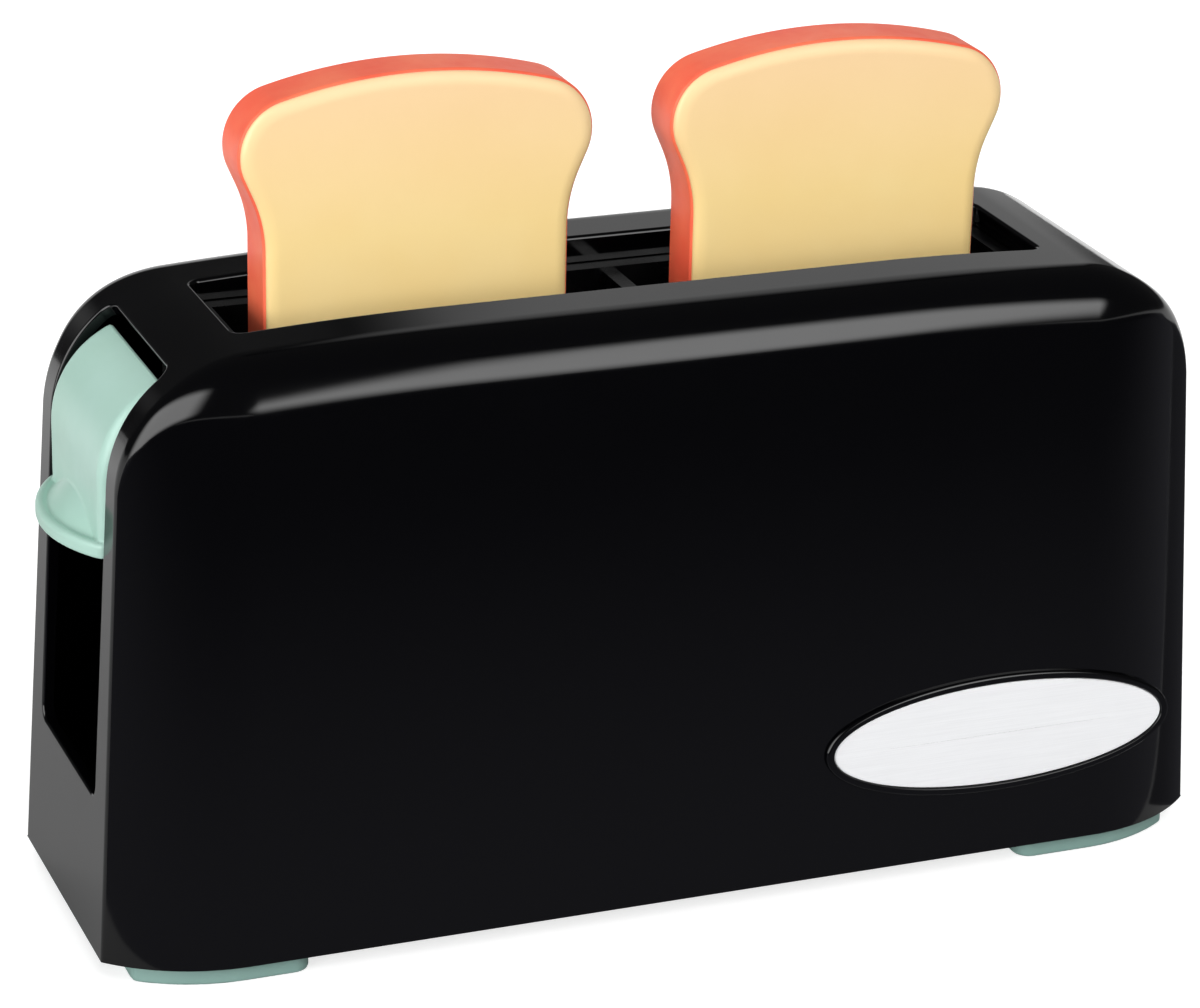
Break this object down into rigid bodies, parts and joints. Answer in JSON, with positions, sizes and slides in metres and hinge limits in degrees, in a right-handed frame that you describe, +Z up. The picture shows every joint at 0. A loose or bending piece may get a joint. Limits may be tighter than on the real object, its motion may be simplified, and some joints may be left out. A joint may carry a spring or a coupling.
{
  "type": "toy toaster",
  "caption": "Toy pop-up toaster with an arched glossy housing, a spring lever that lowers the carriage, and toy bread slices that lift out.",
  "frame": {"origin": "middle of the footprint, on the flat undersides of the feet", "axes": "+X along the housing, away from the lever; +Y to the back, away from the badge; +Z up"},
  "size_m": [0.2024, 0.0689, 0.1459],
  "materials": {
    "housing_black": "moulded high gloss",
    "inner_black": "fine moulded texture",
    "mint": "moulded satin gloss",
    "badge_silver": "fine brushed plate, bare",
    "crust": "moulded satin",
    "crumb": "moulded satin",
    "steel": "drawn rod and wire",
    "zinc_screw": "zinc plated",
    "bumper_rubber": "soft matt"
  },
  "bodies": {
    "housing": {"outer_shell": "housing_black", "badge_plate": "badge_silver", "base_plate": "inner_black", "left_foot": "mint", "right_foot": "mint", "base_screws": "zinc_screw", "bread_cage": "inner_black", "cage_screws": "zinc_screw", "catch_spring": "steel", "catch_screw": "zinc_screw", "guide_rod_left": "steel", "guide_rod_right": "steel", "stop_sleeve_left": "bumper_rubber", "stop_sleeve_right": "bumper_rubber", "return_spring": "steel"},
    "carriage": {"carriage": "inner_black", "lever": "mint", "lever_screws": "zinc_screw"},
    "slice_left": {"slice_left_crust": "crust", "slice_left_crumb_front": "crumb", "slice_left_crumb_back": "crumb"},
    "slice_right": {"slice_right_crust": "crust", "slice_right_crumb_front": "crumb", "slice_right_crumb_back": "crumb"}
  },
  "joints": [
    {"name": "carriage_slide", "type": "slide", "parent": "housing", "child": "carriage", "axis": [0, 0, 1], "range_m": [-0.04, 0], "stiffness_N_per_m": 30, "springref_m": 0.03, "deforming": ["return_spring", "catch_spring"]},
    {"name": "slice_left_lift", "type": "slide", "parent": "carriage", "child": "slice_left", "axis": [0, 0, 1], "range_m": [0, 0.09]},
    {"name": "slice_right_lift", "type": "slide", "parent": "carriage", "child": "slice_right", "axis": [0, 0, 1], "range_m": [0, 0.09]}
  ]
}
